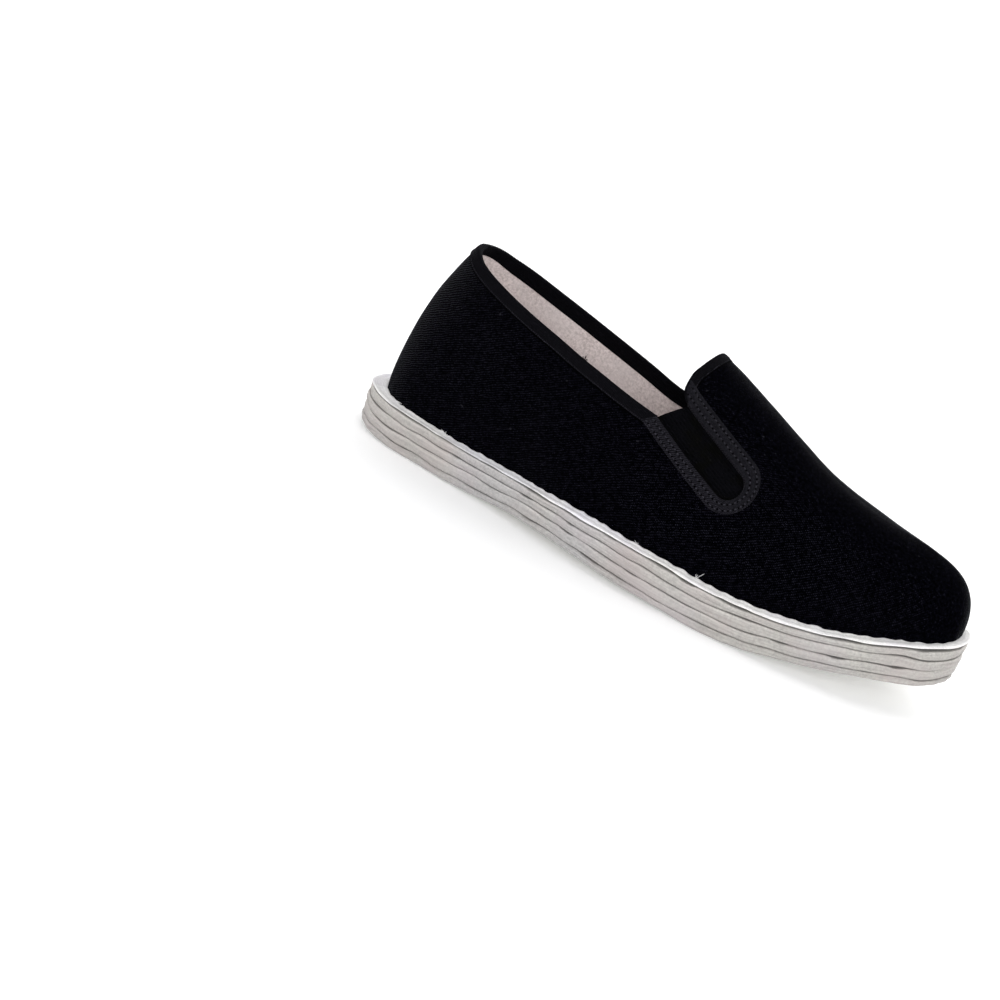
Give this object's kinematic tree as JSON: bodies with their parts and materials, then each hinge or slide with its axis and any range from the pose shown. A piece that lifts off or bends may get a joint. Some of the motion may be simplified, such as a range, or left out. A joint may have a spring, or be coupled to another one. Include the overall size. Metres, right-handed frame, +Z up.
{
  "type": "chinese cloth shoe",
  "caption": "Black cotton slip-on cloth shoe for the right foot, with elastic side gores, a bound collar and a thick stacked, stitched white cloth sole.",
  "frame": {"origin": "on the floor, under the middle of the box around the shoe", "axes": "+X towards the toe, -Y towards the outer side of the right foot, +Z up"},
  "size_m": [0.2746, 0.0974, 0.0945],
  "materials": {
    "black_cotton": "matt cotton twill",
    "black_tape": "matt cotton tape",
    "black_elastic": "ribbed elastic",
    "stitched_cloth": "matt off-white cotton in stacked layers, hand stitched",
    "white_cloth": "matt white cotton strip",
    "beige_lining": "matt pinkish beige cotton"
  },
  "bodies": {
    "root": {"sole_layer_1_tread": "stitched_cloth", "sole_layer_2": "stitched_cloth", "sole_layer_3": "stitched_cloth", "sole_layer_4": "stitched_cloth", "welt_strip": "white_cloth", "insole": "beige_lining", "upper": "black_cotton", "collar_binding": "black_tape", "tab_binding": "black_tape", "gore_outer": "black_elastic", "gore_inner": "black_elastic"}
  },
  "joints": []
}
